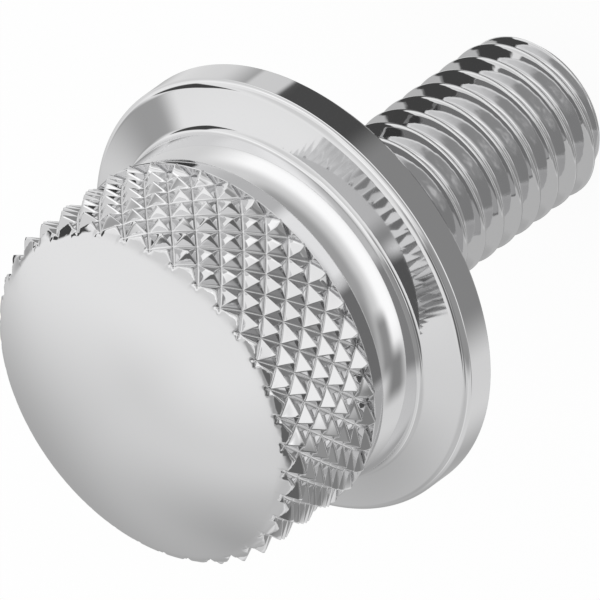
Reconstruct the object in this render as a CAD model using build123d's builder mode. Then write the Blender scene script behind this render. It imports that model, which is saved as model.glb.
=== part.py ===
"""Seat knob: a domed, diamond-knurled head, a flanged collar and a metric screw, turned in one piece.

The screw's axis is Z, with the head up. The origin is the centre of the flange's flat underside, which
is the face that seats when the knob is screwed down. All sizes are in millimetres and degrees.
"""

import os
from math import cos, pi, radians, sin, sqrt, tan

from build123d import *

# Flange: a flat seat, a rim with a rounded upper corner, and a slightly dished cone that rises to the collar.
flange_diameter = 21.0
seat_edge_break = 0.2
rim_height = 1.77
rim_corner_radius = 0.45
face_rise = 0.69
face_dish_radius = 21.3

# Collar: a ring that bulges slightly and draws in towards the neck.
collar_diameter = 16.81
collar_fillet = 0.4
collar_height = 2.21
collar_barrel_radius = 14.0
neck_diameter = 16.39

# Taper: it opens out from the neck to the lower end of the knurl.
taper_height = 0.88
taper_diameter = 16.96

# Knurl: pointed teeth left standing by two sets of helical V grooves that cross.
knurl_diameter = 17.2
knurl_teeth = 36
knurl_helix_angle = 45.0
knurl_depth = 0.52
knurl_straight = 4.69
knurl_first_row = 0.48

# Top of the head: a chamfer through the upper teeth that rolls over into a shallow spherical dome.
chamfer_height = 0.95
dome_diameter = 15.8
dome_radius = 17.4
dome_edge_fillet = 2.4

# Screw: M8 coarse, right-hand, with a plain shank under the seat where the thread stops, and a chamfered end.
thread_diameter = 7.84
thread_pitch = 1.25
thread_length = 16.0
thread_flank_angle = 30.0
thread_crest_width = 0.16
thread_root_width = 0.25
thread_start_angle = 75.0
shank_length = 1.0
shank_diameter = 7.92
end_chamfer = 0.55

# Radii and heights that follow from those sizes.
flange_radius = flange_diameter / 2
collar_radius = collar_diameter / 2
neck_radius = neck_diameter / 2
taper_radius = taper_diameter / 2
knurl_radius = knurl_diameter / 2
dome_edge_radius = dome_diameter / 2

face_top = rim_height + face_rise
neck_height = face_top + collar_height
knurl_bottom = neck_height + taper_height
chamfer_bottom = knurl_bottom + knurl_straight
dome_edge = chamfer_bottom + chamfer_height
head_top = dome_edge + dome_radius - sqrt(dome_radius**2 - dome_edge_radius**2)

thread_radius = thread_diameter / 2
shank_radius = shank_diameter / 2
flank_slope = tan(radians(thread_flank_angle))
ridge_depth = (thread_pitch - thread_root_width - thread_crest_width) / 2 / flank_slope
core_radius = thread_radius - ridge_depth
ridge_root_depth = thread_root_width / 4 / flank_slope
ridge_foot_width = thread_crest_width + 2 * (ridge_depth + ridge_root_depth) * flank_slope

# The teeth stand on a lattice of levels and columns, half a tooth apart each way.
lattice_level = pi * knurl_radius / knurl_teeth / tan(radians(knurl_helix_angle))


def lattice_point(level, column):
    """A vertex of the knurl: tooth points and groove crossings take turns along each level and column."""
    radius = knurl_radius if (level + column) % 2 == 0 else knurl_radius - knurl_depth
    angle = column * pi / knurl_teeth
    return (radius * cos(angle), radius * sin(angle), knurl_bottom + knurl_first_row + level * lattice_level)


def make_knurl_envelope():
    """The solid inside the knurl: each step of level and column is two flat facets that meet in a groove."""
    columns = 2 * knurl_teeth
    first_level = int(-knurl_first_row / lattice_level) - 2
    last_level = int((head_top - knurl_bottom - knurl_first_row) / lattice_level) + 2
    facets = []
    for level in range(first_level, last_level):
        for column in range(columns):
            next_column = (column + 1) % columns
            low, low_next = lattice_point(level, column), lattice_point(level, next_column)
            high, high_next = lattice_point(level + 1, column), lattice_point(level + 1, next_column)
            if (level + column) % 2 == 0:
                triangles = [(low, low_next, high), (high_next, high, low_next)]
            else:
                triangles = [(low_next, high_next, low), (high, low, high_next)]
            facets += [Face(Wire.make_polygon(triangle)) for triangle in triangles]
    for level in (first_level, last_level):
        ring = [lattice_point(level, column) for column in range(columns)]
        facets.append(Face(Wire.make_polygon(ring)))
    return Solid(Shell(facets))


knurl_envelope = make_knurl_envelope()

# Knurled head: the blank with its chamfer and dome, trimmed to the knurl.
with BuildPart() as head:
    with BuildSketch(Plane.XZ) as head_profile:
        with BuildLine():
            Polyline(
                (0, head_top),
                (0, knurl_bottom),
                (knurl_radius + knurl_depth, knurl_bottom),
                (knurl_radius + knurl_depth, chamfer_bottom),
                (knurl_radius, chamfer_bottom),
                (dome_edge_radius, dome_edge),
            )
            RadiusArc((dome_edge_radius, dome_edge), (0, head_top), -dome_radius)
        make_face()
        fillet(head_profile.vertices().sort_by_distance((dome_edge_radius, dome_edge))[0], dome_edge_fillet)
    revolve(axis=Axis.Z)
    add(knurl_envelope, mode=Mode.INTERSECT)

# Flange, collar and taper: one turned profile from the seat up to the knurl.
with BuildPart() as base:
    with BuildSketch(Plane.XZ) as base_profile:
        with BuildLine():
            Polyline(
                (flange_radius, rim_height),
                (flange_radius, 0),
                (0, 0),
                (0, knurl_bottom),
                (taper_radius, knurl_bottom),
                (neck_radius, neck_height),
            )
            RadiusArc((neck_radius, neck_height), (collar_radius, face_top), collar_barrel_radius)
            RadiusArc((collar_radius, face_top), (flange_radius, rim_height), -face_dish_radius)
        make_face()
        for corner, radius in (
            ((collar_radius, face_top), collar_fillet),
            ((flange_radius, rim_height), rim_corner_radius),
        ):
            fillet(base_profile.vertices().sort_by_distance(corner)[0], radius)
        chamfer(base_profile.vertices().sort_by_distance((flange_radius, 0))[0], seat_edge_break)
    revolve(axis=Axis.Z)

# Screw: a helical ridge swept round a core and trimmed at both ends, with the plain shank above it.
with BuildPart() as screw:
    with BuildLine() as ridge_path:
        Helix(
            thread_pitch,
            thread_length + thread_pitch,
            core_radius,
            center=(0, 0, -thread_length - thread_pitch * (1 - thread_start_angle / 360)),
        )
    with BuildSketch(Plane(ridge_path.line @ 0, x_dir=(1, 0, 0), z_dir=ridge_path.line % 0)):
        with BuildLine():
            Polyline(
                (-ridge_root_depth, -ridge_foot_width / 2),
                (ridge_depth, -thread_crest_width / 2),
                (ridge_depth, thread_crest_width / 2),
                (-ridge_root_depth, ridge_foot_width / 2),
                close=True,
            )
        make_face()
    sweep(path=ridge_path.line, is_frenet=True)
    with BuildSketch(Plane.XY.offset(-thread_length - 2 * thread_pitch)):
        Circle(core_radius)
    extrude(amount=thread_length + 3 * thread_pitch)
    with BuildSketch(Plane.XZ):
        with BuildLine():
            Polyline(
                (0, 0),
                (shank_radius, 0),
                (shank_radius, -thread_length + end_chamfer),
                (thread_radius, -thread_length + end_chamfer),
                (thread_radius - end_chamfer, -thread_length),
                (0, -thread_length),
                close=True,
            )
        make_face()
    revolve(axis=Axis.Z, mode=Mode.INTERSECT)
    with BuildSketch():
        Circle(shank_radius)
    extrude(amount=-shank_length)

with BuildPart() as seat_knob:
    add(base.part)
    add(head.part)
    add(screw.part)

seat_knob.part.label = "seat_knob"
os.makedirs("parts", exist_ok=True)
export_step(seat_knob.part, "parts/seat_knob.step")
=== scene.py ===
"""Seat knob: a bright chrome thumb screw with a domed, diamond-knurled head, a collar and a flange.

The knob stands on the end of its screw with its head up. Lengths are in millimetres, turned to metres
when a mesh is made, and angles are in degrees. Heights are measured from the flange's seat, at z = 0.
"""

import bpy
import numpy as np
from mathutils import Matrix, Vector


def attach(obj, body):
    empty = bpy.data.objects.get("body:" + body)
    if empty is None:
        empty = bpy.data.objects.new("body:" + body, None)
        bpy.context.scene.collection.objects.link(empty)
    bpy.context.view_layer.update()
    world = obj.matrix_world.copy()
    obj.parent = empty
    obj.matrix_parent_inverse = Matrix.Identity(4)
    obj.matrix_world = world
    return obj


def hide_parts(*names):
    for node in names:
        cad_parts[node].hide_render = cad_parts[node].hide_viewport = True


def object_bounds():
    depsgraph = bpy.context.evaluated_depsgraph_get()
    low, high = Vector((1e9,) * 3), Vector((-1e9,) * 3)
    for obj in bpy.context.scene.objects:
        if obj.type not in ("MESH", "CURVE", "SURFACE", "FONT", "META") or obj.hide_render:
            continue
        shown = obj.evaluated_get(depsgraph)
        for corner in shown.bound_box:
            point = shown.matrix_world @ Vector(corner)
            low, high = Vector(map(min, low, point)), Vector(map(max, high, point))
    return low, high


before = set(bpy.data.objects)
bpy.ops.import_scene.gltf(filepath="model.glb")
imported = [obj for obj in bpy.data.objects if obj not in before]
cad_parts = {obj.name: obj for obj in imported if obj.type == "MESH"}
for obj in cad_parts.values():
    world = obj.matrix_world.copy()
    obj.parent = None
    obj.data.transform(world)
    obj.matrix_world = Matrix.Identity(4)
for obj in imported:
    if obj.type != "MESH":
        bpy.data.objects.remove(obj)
cad_low, cad_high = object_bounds()

# ---------------------------------------------------------------------------------------------------------
# Flange, collar and taper: turned steel under the head, in one piece with it.
# The flange's face is a slightly dished cone that runs up in a fillet to the collar. The collar bulges
# slightly and draws in to the neck, and a short taper opens out from there to the knurl.

flange_radius = 1000 * cad_high.x
seat_edge_break = 0.2
rim_side, rim_corner_radius = 1.23, 0.45
face_outer_tilt, face_inner_tilt, face_length = 16.2, 20.5, 1.6
collar_foot_tilt, neck_tilt = 88.0, 80.0
collar_fillet, collar_barrel_radius = 0.4, 14.0
taper_tilt, taper_length = 107.9, 0.925
top_face_length = 7.0
innermost_ring = 1.0
columns_round_base = 600
section_end_share = 0.01


def turned_profile(radius, height, sections):
    """Rows of (radius, height) along a turned outline of tangent arcs and straight lines.

    A section is (tilt at its start, tilt at its end, length, steps). The tilt is the angle in degrees
    from straight up to the outward normal, so the outline runs by (-cos tilt, sin tilt). A row lies
    section_end_share inside each end of a section, which keeps the corners between sections crisp.
    """
    rows = [np.array([[radius, height]])]
    for first_tilt, last_tilt, length, steps in sections:
        share = np.linspace(0, 1, steps + 1)
        share = np.unique(np.concatenate([share, [section_end_share, 1 - section_end_share]]))
        tilt = np.radians(first_tilt + (last_tilt - first_tilt) * (share[1:] + share[:-1]) / 2)
        direction = np.stack([-np.cos(tilt), np.sin(tilt)], axis=-1)
        rows.append(rows[-1][-1] + np.cumsum(direction * np.diff(share)[:, None] * length, axis=0))
    return np.concatenate(rows)


def ring_surface(radius, height, angle, falling, shift=0):
    """Points and triangles of rings of points round Z: x = radius cos(angle), y = radius sin(angle).

    radius and height have a row for each ring, from the lowest to the highest, and a column for each
    angle. The last column meets the first one of the ring that is shift rings higher. The two triangles
    between four points meet on the diagonal that falls to the right where falling is true, and elsewhere
    on the one that climbs. A point on the axis closes each end.
    """
    rings, columns = radius.shape
    points = np.stack([radius * np.cos(angle), radius * np.sin(angle), height], axis=-1).reshape(-1, 3)
    number = np.arange(rings * columns).reshape(rings, columns)
    first_above = number[np.minimum(np.arange(rings) + shift, rings - 1), :1]
    beside = np.concatenate([number[:, 1:], first_above], axis=1)
    a, b, c, d = number[:-1], beside[:-1], beside[1:], number[1:]
    below = np.stack([a, b, np.where(falling, d, c)], axis=-1)
    above = np.stack([np.where(falling, b, a), c, d], axis=-1)
    low_end, high_end = len(points), len(points) + 1
    low_cap = np.stack([np.full(columns, low_end), beside[0], number[0]], axis=-1)
    high_cap = np.stack([np.full(columns, high_end), number[-1], beside[-1]], axis=-1)
    ends = [[0, 0, height[0].mean()], [0, 0, height[-1].mean()]]
    faces = [part.reshape(-1, 3) for part in (below, above, low_cap, high_cap)]
    return np.concatenate([points, ends]), np.concatenate(faces)


def make_base():
    """Rings up the turned outline, from the seat's centre to the face on which the head stands."""
    corner_length = rim_corner_radius * np.radians(90 - face_outer_tilt)
    fillet_length = collar_fillet * np.radians(collar_foot_tilt - face_inner_tilt)
    collar_length = collar_barrel_radius * np.radians(collar_foot_tilt - neck_tilt)
    profile = turned_profile(
        innermost_ring,
        0.0,
        [
            (180, 180, flange_radius - seat_edge_break - innermost_ring, 10),
            (135, 135, seat_edge_break * np.sqrt(2), 2),
            (90, 90, rim_side, 6),
            (90, face_outer_tilt, corner_length, 20),
            (face_outer_tilt, face_inner_tilt, face_length, 30),
            (face_inner_tilt, collar_foot_tilt, fillet_length, 28),
            (collar_foot_tilt, neck_tilt, collar_length, 30),
            (taper_tilt, taper_tilt, taper_length, 10),
            (0, 0, top_face_length, 6),
        ],
    )
    angle = np.linspace(0, 2 * np.pi, columns_round_base, endpoint=False)
    radius, height = (values[:, None] * np.ones_like(angle) for values in profile.T)
    return ring_surface(radius, height, angle, False)


# The whole knob is plated with nickel and then with bright chrome. It is a near mirror, and long shallow
# ripples in the plating bend the reflections slightly.
chrome_colour = (0.70, 0.70, 0.705, 1.0)
chrome_roughness, haze_roughness, haze_size = 0.03, 0.03, 2.5


class Socket:
    """A node's output. Python's operators on it add Math nodes."""

    def __init__(self, shader, output):
        self.shader = shader
        self.output = output

    def math(self, operation, *values):
        """Adds a Math node. Its values are sockets or numbers."""
        return self.shader.node("Math", {"operation": operation}, dict(enumerate(values)))

    def __add__(self, other):
        return self.math("ADD", self, other)

    def __radd__(self, other):
        return self.math("ADD", other, self)

    def __sub__(self, other):
        return self.math("SUBTRACT", self, other)

    def __rsub__(self, other):
        return self.math("SUBTRACT", other, self)

    def __mul__(self, other):
        return self.math("MULTIPLY", self, other)

    def __rmul__(self, other):
        return self.math("MULTIPLY", other, self)

    def rise(self, low, high):
        """0 below low and 1 above high, with a smooth step between them."""
        settings = {"interpolation_type": "SMOOTHSTEP"}
        return self.shader.node("MapRange", settings, {"Value": self, "From Min": low, "From Max": high})

    def between(self, low, high, soft):
        """1 from low to high and 0 outside, where each edge is a smooth step as wide as soft."""
        opening = self.rise(low - soft / 2, low + soft / 2)
        closing = self.rise(high - soft / 2, high + soft / 2)
        return opening * (1 - closing)


class Shader:
    """The node tree of a material or of the world."""

    def __init__(self, owner):
        owner.use_nodes = True
        self.tree = owner.node_tree
        self.tree.nodes.clear()

    def node(self, kind, settings, inputs, output=0):
        """Adds a node, sets its settings and then its sockets, and returns one of its outputs."""
        node = self.tree.nodes.new("ShaderNode" + kind)
        for name, value in settings.items():
            setattr(node, name, value)
        for name, value in inputs.items():
            if isinstance(value, Socket):
                self.tree.links.new(value.output, node.inputs[name])
            else:
                node.inputs[name].default_value = value
        return Socket(self, node.outputs[output] if node.outputs else None)


def make_chrome(name, ripple_size, ripple_depth):
    """Bright chrome, with ripples and a slight haze as noise on Object coordinates. Sizes are in mm."""
    material = bpy.data.materials.new(name)
    shader = Shader(material)
    place = shader.node("TexCoord", {}, {}, "Object")
    ripple = shader.node("TexNoise", {}, {"Vector": place, "Scale": 1000 / ripple_size, "Detail": 2.0})
    haze = shader.node("TexNoise", {}, {"Vector": place, "Scale": 1000 / haze_size, "Detail": 4.0})
    bump = shader.node("Bump", {}, {"Height": ripple, "Distance": ripple_depth / 1000, "Strength": 1.0})
    surface = shader.node(
        "BsdfPrincipled",
        {},
        {
            "Base Color": chrome_colour,
            "Metallic": 1.0,
            "Roughness": chrome_roughness + haze_roughness * haze,
            "Normal": bump,
        },
        "BSDF",
    )
    shader.node("OutputMaterial", {}, {"Surface": surface})
    return material


def add_piece(name, points, faces, material):
    """Puts a mesh into the scene: points in mm, faces as rows of vertex numbers, with smooth shading."""
    mesh = bpy.data.meshes.new(name)
    mesh.from_pydata((points / 1000).tolist(), [], faces.tolist())
    mesh.polygons.foreach_set("use_smooth", np.ones(len(mesh.polygons), bool))
    mesh.materials.append(material)
    mesh.validate()
    piece = bpy.data.objects.new(name, mesh)
    bpy.context.scene.collection.objects.link(piece)
    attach(piece, "root")
    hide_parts("seat_knob")


polished_chrome = make_chrome("polished chrome", 6.0, 0.002)
add_piece("flange_and_collar", *make_base(), polished_chrome)

# ---------------------------------------------------------------------------------------------------------
# Head: the knurled grip and its polished dome, in one piece with the collar. Two wheels roll in crossing
# grooves that leave 36 teeth round it, in rows half a tooth apart, and the rolled teeth lean slightly.
# The chamfer is cut through the top rows, where the grooves are deeper, and rolls over into the dome.

knurl_bottom, knurl_first_row, knurl_turn = 5.55, 5.64, 1.53
knurl_radius, knurl_depth, knurl_teeth = 8.6, 0.56, 36
half_tooth = np.pi * knurl_radius / knurl_teeth
tooth_lean, lean_fade = 0.5, 0.4
chamfer_bottom, chamfer_tilt, chamfer_length = 10.24, 56.8, 0.61
end_depth, end_depth_reach, end_depth_rise = 0.16, 0.2, 1.1
dome_edge_fillet, dome_tilt, dome_centre_share = 1.5, 26.6, 0.03
foot_inset = 0.05

# The roundings of a tooth and the height of its flat tip are shares of a groove's depth. The corner
# where the chamfer cuts the teeth is rounded over chamfer_rounding, in mm.
groove_rounding, ridge_rounding, tip_height = 0.03, 0.04, 0.97
chamfer_rounding = 0.02

# The mesh has its rings and columns at these shares of each half tooth, and no ring nearer than end_gap
# to either end of the knurl.
tooth_steps = np.array([0, 0.03, 0.12, 0.24, 0.37, 0.5, 0.63, 0.76, 0.88, 0.97])
end_gap = 0.02


def smooth_lowest(first, second, blend):
    """The lower of two values, with the corner between them rounded over a width of blend."""
    gap = np.clip(0.5 + 0.5 * (second - first) / blend, 0, 1)
    return second + (first - second) * gap - blend * gap * (1 - gap)


def knurl_edges(level, column):
    """How far a place is from the grooves of each set, from 0 in a groove to 1 midway between two.

    level and column count half teeth up and round. One set's grooves run where their sum is odd, and
    the other's where their difference is.
    """
    return np.abs((level + column) % 2 - 1), np.abs((level - column) % 2 - 1)


def knurl_surface(level, column, depth):
    """The radius of the knurl, where a tooth's height is its distance from the nearest groove.

    The distance is taken as the root of its square plus a small one's, which rounds the groove's bottom.
    The ridges between a tooth's four sides are rounded, and its tip is slightly flat.
    """
    first, second = (np.sqrt(edge**2 + groove_rounding**2) for edge in knurl_edges(level, column))
    tooth = smooth_lowest(first, second, ridge_rounding)
    tooth = smooth_lowest(tooth, np.full_like(tooth, tip_height), ridge_rounding)
    return knurl_radius - depth * (1 - tooth)


def make_head():
    """Rings at the knurl's own levels up to the dome, and then rings that close in over the dome.

    The knurl's radius is held under the turned outline of the chamfer and the dome's edge. A place on a
    tooth moves up and back round the head in proportion to its distance from the second set's grooves,
    by half of tooth_lean at most, which fades to nothing at both ends of the knurl. Under the dome the
    grooves deepen evenly by end_depth, from end_depth_reach below the chamfer over end_depth_rise.
    """
    fillet_length = dome_edge_fillet * np.radians(chamfer_tilt - dome_tilt)
    sections = [
        (chamfer_tilt, chamfer_tilt, chamfer_length, 8),
        (chamfer_tilt, dome_tilt, fillet_length, 40),
    ]
    edge = turned_profile(knurl_radius, chamfer_bottom, sections)
    dome_radius = edge[-1, 0] / np.sin(np.radians(dome_tilt))
    dome_length = (1 - dome_centre_share) * dome_radius * np.radians(dome_tilt)
    dome = turned_profile(*edge[-1], [(dome_tilt, dome_centre_share * dome_tilt, dome_length, 26)])

    column = (np.arange(2 * knurl_teeth)[:, None] + tooth_steps).reshape(-1)
    low_level = (knurl_bottom - knurl_first_row) / half_tooth
    high_level = (edge[-1, 1] - knurl_first_row) / half_tooth
    level = (np.arange(np.floor(low_level), np.ceil(high_level))[:, None] + tooth_steps).reshape(-1)
    level = level[(level > low_level + end_gap) & (level < high_level - end_gap)]
    level = np.concatenate([[low_level], level])[:, None]

    held = np.clip(np.minimum(level - low_level, high_level - level) / lean_fade, 0, 1)
    lean = tooth_lean / 2 * held * knurl_edges(level, column)[1]
    height = knurl_first_row + (level + lean) * half_tooth
    deepening = np.clip((height - chamfer_bottom + end_depth_reach) / end_depth_rise, 0, 1)
    teeth = knurl_surface(level, column, knurl_depth + end_depth * deepening)
    outline = np.interp(height, edge[:, 1], edge[:, 0], left=knurl_radius + knurl_depth)
    radius = smooth_lowest(teeth, outline, chamfer_rounding)

    flat = np.ones_like(column)
    foot = [[ring, knurl_bottom] for ring in (innermost_ring, knurl_radius - knurl_depth - foot_inset)]
    below, above = (np.array(rows)[:, :, None] * flat for rows in (foot, dome))
    radius = np.concatenate([below[:, 0], radius, above[:, 0]])
    height = np.concatenate([below[:, 1], height, above[:, 1]])
    turn = [np.tile(column, (len(foot), 1)), column - lean, np.tile(column, (len(dome), 1))]
    angle = np.concatenate(turn) * np.pi / knurl_teeth + np.radians(knurl_turn)

    level = np.concatenate([[low_level] * len(foot), level[:, 0], [high_level] * len(dome)])
    middle_level = (level[1:, None] + level[:-1, None]) / 2
    middle_column = column + np.diff(column, append=2 * knurl_teeth) / 2
    first, second = knurl_edges(middle_level, middle_column)
    return ring_surface(radius, height, angle, first < second)


add_piece("knurled_head", *make_head(), polished_chrome)

# ---------------------------------------------------------------------------------------------------------
# Screw: an M8 coarse right-hand thread under the flange, in one piece with it. It has a plain shank at
# the top and a chamfer at its end. The plating rounds its crests and roots. It isn't polished before it
# is plated, so the ripples in its chrome are shorter and deeper than the head's.

thread_radius, thread_pitch = 3.92, 1.25
thread_length, thread_start_angle = -1000 * cad_low.z, 75.0
thread_start = -thread_length - thread_pitch * (1 - thread_start_angle / 360)
thread_crest, thread_root, flank_slope = 0.16, 0.25, np.sqrt(3)
crest_rounding, root_rounding, end_rounding = 0.06, 0.12, 0.03
shank_length, shank_radius, shank_bevel_slope = 1.0, 3.96, 3
end_chamfer = 0.55
rings_per_turn, columns_round_screw, merge_digits = 24, 200, 6


def thread_surface(height, angle):
    """The radius of the thread: flats at the crest and the root, and 30 degree flanks between them.

    across is the distance along the axis from the middle of the nearest crest, which climbs one pitch
    in each turn. A flank falls by flank_slope times across. The corners are rounded, the end's chamfer
    cuts the thread short, and the shank's lower edge is bevelled.
    """
    across = (height - thread_start) / thread_pitch - angle / (2 * np.pi)
    across = np.abs((across + 0.5) % 1 - 0.5) * thread_pitch
    flank = thread_radius - (across - thread_crest / 2) * flank_slope
    root = thread_radius - ((thread_pitch - thread_root - thread_crest) / 2) * flank_slope
    radius = smooth_lowest(flank, np.full_like(flank, thread_radius), crest_rounding)
    radius = -smooth_lowest(-radius, np.full_like(radius, -root), root_rounding)
    radius = smooth_lowest(radius, thread_radius - end_chamfer + height + thread_length, end_rounding)
    return np.maximum(radius, shank_radius + shank_bevel_slope * np.minimum(height + shank_length, 0))


def make_screw():
    """Rings that climb one pitch in each turn, so that they follow the thread, held within the ends.

    Each end has a spare turn, whose rings fall on each other there, so points that meet are merged and
    the faces that this empties are left out.
    """
    angle = np.linspace(0, 2 * np.pi, columns_round_screw, endpoint=False)
    turns = int(np.ceil(thread_length / thread_pitch)) + 2
    ring = np.arange(turns * rings_per_turn)[:, None] / rings_per_turn - 1
    climb = -thread_length + thread_pitch * (ring + angle / (2 * np.pi))
    height = np.clip(climb, -thread_length, 0)
    points, faces = ring_surface(thread_surface(height, angle), height, angle, False, rings_per_turn)
    points, kept = np.unique(points.round(merge_digits), axis=0, return_inverse=True)
    faces = kept.reshape(-1)[faces]
    distinct = (faces != np.roll(faces, 1, axis=1)).all(axis=1)
    return points, faces[distinct]


thread_chrome = make_chrome("plated thread chrome", 0.8, 0.010)
add_piece("threaded_screw", *make_screw(), thread_chrome)

# ---------------------------------------------------------------------------------------------------------
# Studio: a white floor under the screw's end, a white room of soft panels all round, and the camera.
# The room is the only light. The chrome reflects its panels, and a few cards that show nowhere else.
# Turns round the knob are measured from the camera's side, which is camera_turn from X.

camera_turn = np.radians(-86.6)
degrees_per_radian = float(np.degrees(1))
white = (1, 1, 1, 1)

# The floor gives off most of its white itself, and the rest is matt and takes the knob's shadow. The
# chrome reflects the room's ground in its place. floor_half is in metres.
floor_half, floor_height, floor_glow = 2.0, cad_low.z, 0.94
corners = ((-1, -1), (1, -1), (1, 1), (-1, 1))
floor_points = [(x * floor_half, y * floor_half, floor_height) for x, y in corners]
floor_mesh = bpy.data.meshes.new("floor")
floor_mesh.from_pydata(floor_points, [], [(0, 1, 2, 3)])
floor = bpy.data.objects.new("floor", floor_mesh)
bpy.context.scene.collection.objects.link(floor)
floor.visible_glossy = False
floor_finish = bpy.data.materials.new("pale floor")
floor_shader = Shader(floor_finish)
matt = floor_shader.node("BsdfDiffuse", {}, {"Color": white})
glow = floor_shader.node("Emission", {}, {"Color": white, "Strength": 1.0})
floor_mix = floor_shader.node("MixShader", {}, {"Fac": floor_glow, 1: matt, 2: glow})
floor_shader.node("OutputMaterial", {}, {"Surface": floor_mix})
floor_mesh.materials.append(floor_finish)


def turn_and_height(shader, coordinates):
    """The turn round Z of a place or a direction, in degrees from the camera's side, and its height."""
    way = shader.node("TexCoord", {}, {}, coordinates)
    settings = {"vector_type": "TEXTURE"}
    way = shader.node("Mapping", settings, {"Vector": way, "Rotation": (0, 0, camera_turn)})
    across, along, height = (shader.node("SeparateXYZ", {}, {"Vector": way}, axis) for axis in "XYZ")
    return along.math("ARCTAN2", along, across) * degrees_per_radian, height


card_columns = 25


def add_card(name, brightness, radius, turn, height, soft_turn, soft_height):
    """A curved card round the knob that shows only in its reflections, in mm and degrees.

    It is a strip of a cylinder round Z, at radius (cos turn, sin turn) from one turn to the other. It
    fades to nothing at its edges, over soft_turn and soft_height within them.
    """
    around = np.radians(np.linspace(*turn, card_columns)) + camera_turn
    ring = np.stack([radius * np.cos(around), radius * np.sin(around)], axis=-1)
    points = np.concatenate([np.column_stack([ring, np.full(card_columns, level)]) for level in height])
    faces = np.arange(card_columns - 1)[:, None] + [0, 1, card_columns + 1, card_columns]
    mesh = bpy.data.meshes.new(name)
    mesh.from_pydata((points / 1000).tolist(), [], faces.tolist())
    finish = bpy.data.materials.new(name)
    shader = Shader(finish)
    turned, raised = turn_and_height(shader, "Object")
    cover = turned.between(turn[0] + soft_turn / 2, turn[1] - soft_turn / 2, soft_turn)
    low, high = height[0] + soft_height / 2, height[1] - soft_height / 2
    cover = cover * (raised * 1000).between(low, high, soft_height)
    clear = shader.node("BsdfTransparent", {}, {"Color": white})
    glow = shader.node("Emission", {}, {"Color": white, "Strength": brightness})
    glow = shader.node("MixShader", {}, {"Fac": cover, 1: clear, 2: glow})
    shader.node("OutputMaterial", {}, {"Surface": glow})
    mesh.materials.append(finish)
    card = bpy.data.objects.new(name, mesh)
    bpy.context.scene.collection.objects.link(card)
    card.visible_camera = card.visible_diffuse = card.visible_shadow = False


# Three cards stand close round the screw, under the flange, and darken the thread.
add_card("screw_card", 0.07, 9.6, (83, 115), (-17, -0.2), 4, 0.1)
add_card("screw_side_card", 0.62, 9.7, (110, 150), (-17, -0.2), 2, 0.1)
add_card("grey_card", 0.60, 9.6, (-122, -66), (-17, -0.2), 6, 0.1)

# Four stand further out. In order, they darken the rim's corner, the foot of the collar, the taper and
# the side of the flange's face.
add_card("black_card", 0.07, 22, (94, 118), (5, 20), 3, 2)
add_card("dark_card", 0.16, 22, (-82, -14), (15, 28), 10, 2)
add_card("low_card", 0.28, 22, (-78, -12), (8.5, 13), 8, 1)
add_card("side_card", 0.44, 22, (116, 146), (3.5, 16), 14, 3)

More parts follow.
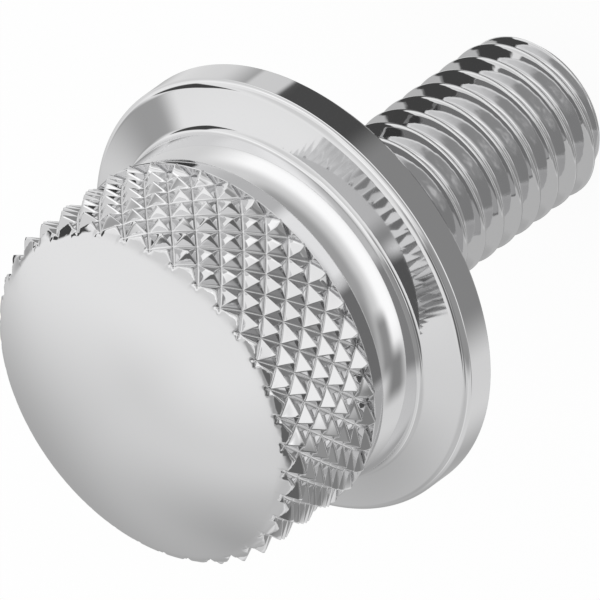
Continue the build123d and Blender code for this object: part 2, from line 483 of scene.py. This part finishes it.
# The room is built up panel by panel, each laid over those before it. A panel has its brightness, where
# it begins and ends in turn and in angle down from straight up, and how wide its edges fade each way.
room_brightness = 0.87
panels = (
    (1.06, (-200, 200), (-30, 24), 2, 30),  # ceiling
    (1.07, (100, 160), (-30, 84), 40, 30),  # right glow
    (0.45, (-160, -112), (54, 84), 40, 34),  # left shade
    (0.46, (165, 300), (76, 300), 30, 70),  # rear wall, right
    (0.46, (-300, -132), (76, 300), 40, 70),  # rear wall, left
    (0.46, (-84, 0), (30, 60), 16, 10),  # left wall, upper part
    (0.38, (-79, -16), (58, 112), 12, 5),  # left wall
    (0.68, (-140, -88), (50, 78), 26, 20),  # far left wall
    (0.5, (-26, 44), (97, 110), 22, 6),  # front shade
    (0.3, (-200, 200), (134, 300), 2, 10),  # ground
    (0.98, (-134, -88), (80, 88), 24, 5),  # left line
    (1.08, (40, 140), (62, 100), 16, 8),  # right wall
    (1.18, (-8, 46), (59, 80), 14, 5),  # front box
    (1.18, (-54, -14), (47, 57), 12, 6),  # left box
    (0.46, (-25, 60), (106, 112.5), 24, 4),  # band shade
    (1.5, (-14, 44), (52.3, 57.5), 12, 3),  # upper strip
    (1.5, (20, 84), (86.6, 91), 20, 3.4),  # side strip
    (1.35, (66, 112), (84, 88.5), 24, 4),  # side strip rise
    (1.15, (100, 140), (78, 86), 16, 5),  # side strip end
    (1.38, (-66, 92), (116, 122.2), 40, 4),  # lower strip
    (0.36, (-76, -42), (112.5, 117), 12, 3),  # lower streak front
    (0.3, (-94, -66), (115, 121), 14, 4),  # lower streak left
    (0.31, (-74, 110), (124.5, 132), 30, 3.5),  # lower shade
    (0.09, (36, 90), (125, 131), 20, 3.4),  # lower black
    (0.82, (86, 105), (125, 131), 4, 3.4),  # lower patch
)

world = bpy.data.worlds.new("studio")
bpy.context.scene.world = world
sky = Shader(world)
turned, raised = turn_and_height(sky, "Generated")
down = raised.math("ARCCOSINE", raised) * degrees_per_radian
room = room_brightness
for brightness, turn_range, down_range, soft_turn, soft_down in panels:
    cover = turned.between(*turn_range, soft_turn) * down.between(*down_range, soft_down)
    room = room + (brightness - room) * cover

# Behind the knob the camera sees plain white.
seen = sky.node("LightPath", {}, {}, "Is Camera Ray")
strength = sky.node("Mix", {"data_type": "FLOAT"}, {"Factor": seen, "A": room, "B": 1.0})
background = sky.node("Background", {}, {"Color": white, "Strength": strength})
sky.node("OutputWorld", {}, {"Surface": background})

# The camera looks down on the head from 38 degrees above the seat's plane, with the screw pointing up
# and to the right behind it. It stands far off, so the view is nearly parallel. view_width is how much
# it takes in at the knob, and aim_offset how far it aims to the right of the origin and above it.
camera_lean = np.radians(38.0)
camera_roll = np.radians(-125.93)
view_width, aim_offset = 25.974, (-0.2554, -0.961)
lens, sensor = 1600.0, 36.0

outward = Vector((np.cos(camera_turn), np.sin(camera_turn), 0))
toward = outward * np.cos(camera_lean) + Vector((0, 0, np.sin(camera_lean)))
level_right = Vector((0, 0, 1)).cross(toward).normalized()
level_up = toward.cross(level_right)
right = level_right * np.cos(camera_roll) + level_up * np.sin(camera_roll)
up = level_up * np.cos(camera_roll) - level_right * np.sin(camera_roll)
aim = (right * aim_offset[0] + up * aim_offset[1]) / 1000
place = aim + toward * view_width / 1000 * lens / sensor

camera_data = bpy.data.cameras.new("camera")
camera_data.lens, camera_data.sensor_width = lens, sensor
camera_data.clip_start, camera_data.clip_end = 0.1, 20.0
camera = bpy.data.objects.new("camera", camera_data)
camera.matrix_world = Matrix.Translation(place) @ Matrix((right, up, toward)).transposed().to_4x4()
bpy.context.scene.collection.objects.link(camera)
bpy.context.scene.camera = camera
bpy.context.scene.view_settings.view_transform = "Standard"
